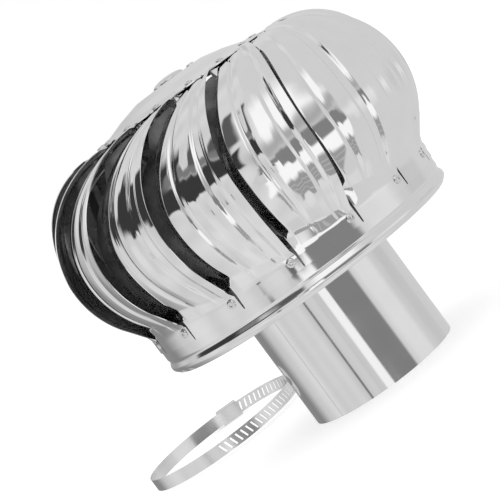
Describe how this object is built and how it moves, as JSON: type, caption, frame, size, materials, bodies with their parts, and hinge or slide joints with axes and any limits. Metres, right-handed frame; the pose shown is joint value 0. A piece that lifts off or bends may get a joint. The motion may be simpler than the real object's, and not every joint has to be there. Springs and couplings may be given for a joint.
{
  "type": "roof turbine ventilator",
  "caption": "Round roof ventilator with a free-turning head of curved mirror-steel vanes on a spigot pipe, with its loose hose clamp beside it.",
  "frame": {"origin": "centre of the spigot pipe's open lower end, which the part stands on", "axes": "+Z is the head's spin axis, pointing up from the pipe's open end to the cap; -Y is the front"},
  "size_m": [0.2971, 0.3535, 0.2245],
  "materials": {
    "pipe_steel": "smooth bright stainless steel sheet",
    "head_steel": "mirror-bright stainless steel sheet",
    "vane_steel": "mirror-bright pressed stainless steel sheet",
    "cap_steel": "mirror-bright spun stainless steel sheet",
    "plug_steel": "bright stainless steel",
    "bracket_steel": "plain cold rolled stainless steel",
    "ring_steel": "plain cold rolled stainless steel",
    "rivet_steel": "bright stainless steel",
    "axle_steel": "ground steel",
    "nut_steel": "zinc plated steel",
    "bearing_steel": "ground and polished bearing steel",
    "cage_brass": "pressed brass",
    "housing_aluminium": "turned aluminium",
    "clamp_steel": "bright rolled stainless steel band",
    "screw_steel": "zinc plated steel"
  },
  "bodies": {
    "base": {"spigot_pipe": "pipe_steel", "axle_bracket": "bracket_steel", "bracket_rivets": "rivet_steel", "axle": "axle_steel", "bracket_nuts": "nut_steel", "bracket_washers": "nut_steel", "lower_bearing_nut": "nut_steel", "bearing_spacer": "axle_steel", "top_washer": "nut_steel", "top_nut": "nut_steel", "lower_inner_race": "bearing_steel", "upper_inner_race": "bearing_steel", "clamp_band": "clamp_steel", "clamp_saddle": "clamp_steel"},
    "head": {"bearing_housing": "housing_aluminium", "retaining_ring": "ring_steel", "lower_outer_race": "bearing_steel", "upper_outer_race": "bearing_steel", "skirt_ring": "head_steel", "skirt_floor": "head_steel", "skirt_rivets": "rivet_steel", "top_ring": "ring_steel", "top_cap": "cap_steel", "cap_rivets": "rivet_steel", "crown_rivets": "rivet_steel", "cap_plug": "plug_steel", "vane_01": "vane_steel", "vane_02": "vane_steel", "vane_03": "vane_steel", "vane_04": "vane_steel", "vane_05": "vane_steel", "vane_06": "vane_steel", "vane_07": "vane_steel", "vane_08": "vane_steel", "vane_09": "vane_steel", "vane_10": "vane_steel", "vane_11": "vane_steel", "vane_12": "vane_steel", "vane_13": "vane_steel", "vane_14": "vane_steel", "vane_15": "vane_steel"},
    "upper_cage": {"upper_balls": "bearing_steel", "upper_ball_cage": "cage_brass"},
    "lower_cage": {"lower_balls": "bearing_steel", "lower_ball_cage": "cage_brass"},
    "clamp_screw": {"clamp_screw": "screw_steel"}
  },
  "joints": [
    {"name": "head_spin", "type": "hinge", "parent": "base", "child": "head", "pos_m": [0, 0, 0.18], "axis": [0, 0, 1], "continuous": true},
    {"name": "upper_cage_spin", "type": "hinge", "parent": "base", "child": "upper_cage", "pos_m": [0, 0, 0.2035], "axis": [0, 0, 1], "continuous": true},
    {"name": "lower_cage_spin", "type": "hinge", "parent": "base", "child": "lower_cage", "pos_m": [0, 0, 0.1685], "axis": [0, 0, 1], "continuous": true},
    {"name": "clamp_screw_turn", "type": "hinge", "parent": "base", "child": "clamp_screw", "pos_m": [-0.10629, 0.2238, 0.006], "axis": [-0.9945, 0.1045, 0], "continuous": true}
  ],
  "couplings": [
    {"joint": "upper_cage_spin", "follows": "head_spin", "ratio": 0.63333},
    {"joint": "lower_cage_spin", "follows": "head_spin", "ratio": 0.63333}
  ]
}
